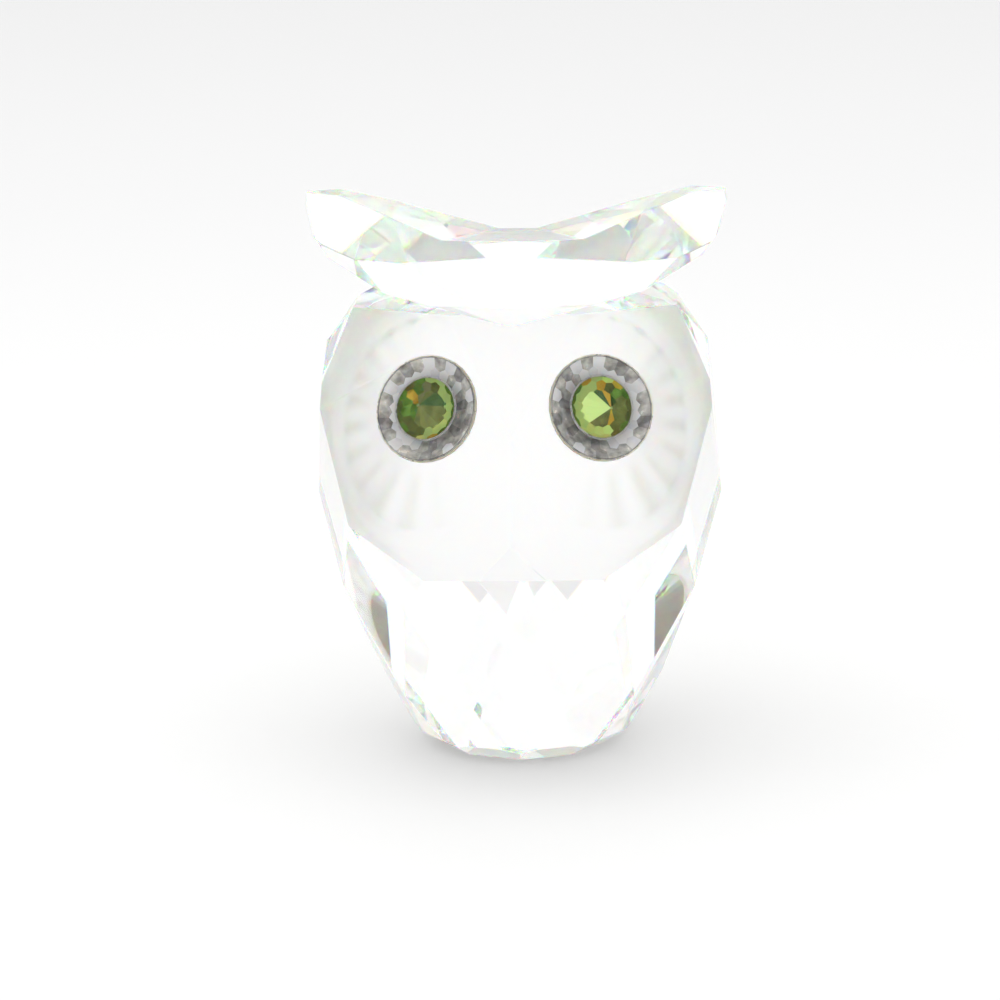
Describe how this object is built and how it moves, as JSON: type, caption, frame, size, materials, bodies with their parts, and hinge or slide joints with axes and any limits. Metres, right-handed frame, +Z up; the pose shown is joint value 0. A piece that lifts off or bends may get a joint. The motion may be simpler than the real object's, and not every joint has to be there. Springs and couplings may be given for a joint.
{
  "type": "faceted crystal owl figurine",
  "caption": "Clear faceted glass owl to stand on a shelf: an egg-shaped cut body with a frosted face, a horned brow on top and green stones for eyes",
  "frame": {"origin": "the middle of the base facet, on the cut axis of the body, where the owl touches the shelf", "axes": "+Z up along the cut axis of the body, -Y out of the front, where the face is, +X to the side of the eye that is on the right in a front view"},
  "size_m": [0.0428, 0.0399, 0.0567],
  "materials": {
    "clear_crystal": "polished clear cut crystal; the face facets of the body (two face planes, the small chin facet and the forehead facet) are frosted",
    "green_crystal": "polished yellow-green cut crystal",
    "silver_foil": "silvered backing on the hidden side of a stone",
    "clear_cement": "clear cement, set hard, slightly yellow"
  },
  "bodies": {
    "root": {"body_crystal": "clear_crystal", "brow_crystal": "clear_crystal", "brow_glue": "clear_cement", "left_eye_stone": "clear_crystal", "left_eye_foil": "silver_foil", "left_eye_glue": "clear_cement", "left_pupil_stone": "green_crystal", "left_pupil_foil": "silver_foil", "left_pupil_glue": "clear_cement", "right_eye_stone": "clear_crystal", "right_eye_foil": "silver_foil", "right_eye_glue": "clear_cement", "right_pupil_stone": "green_crystal", "right_pupil_foil": "silver_foil", "right_pupil_glue": "clear_cement"}
  },
  "joints": []
}
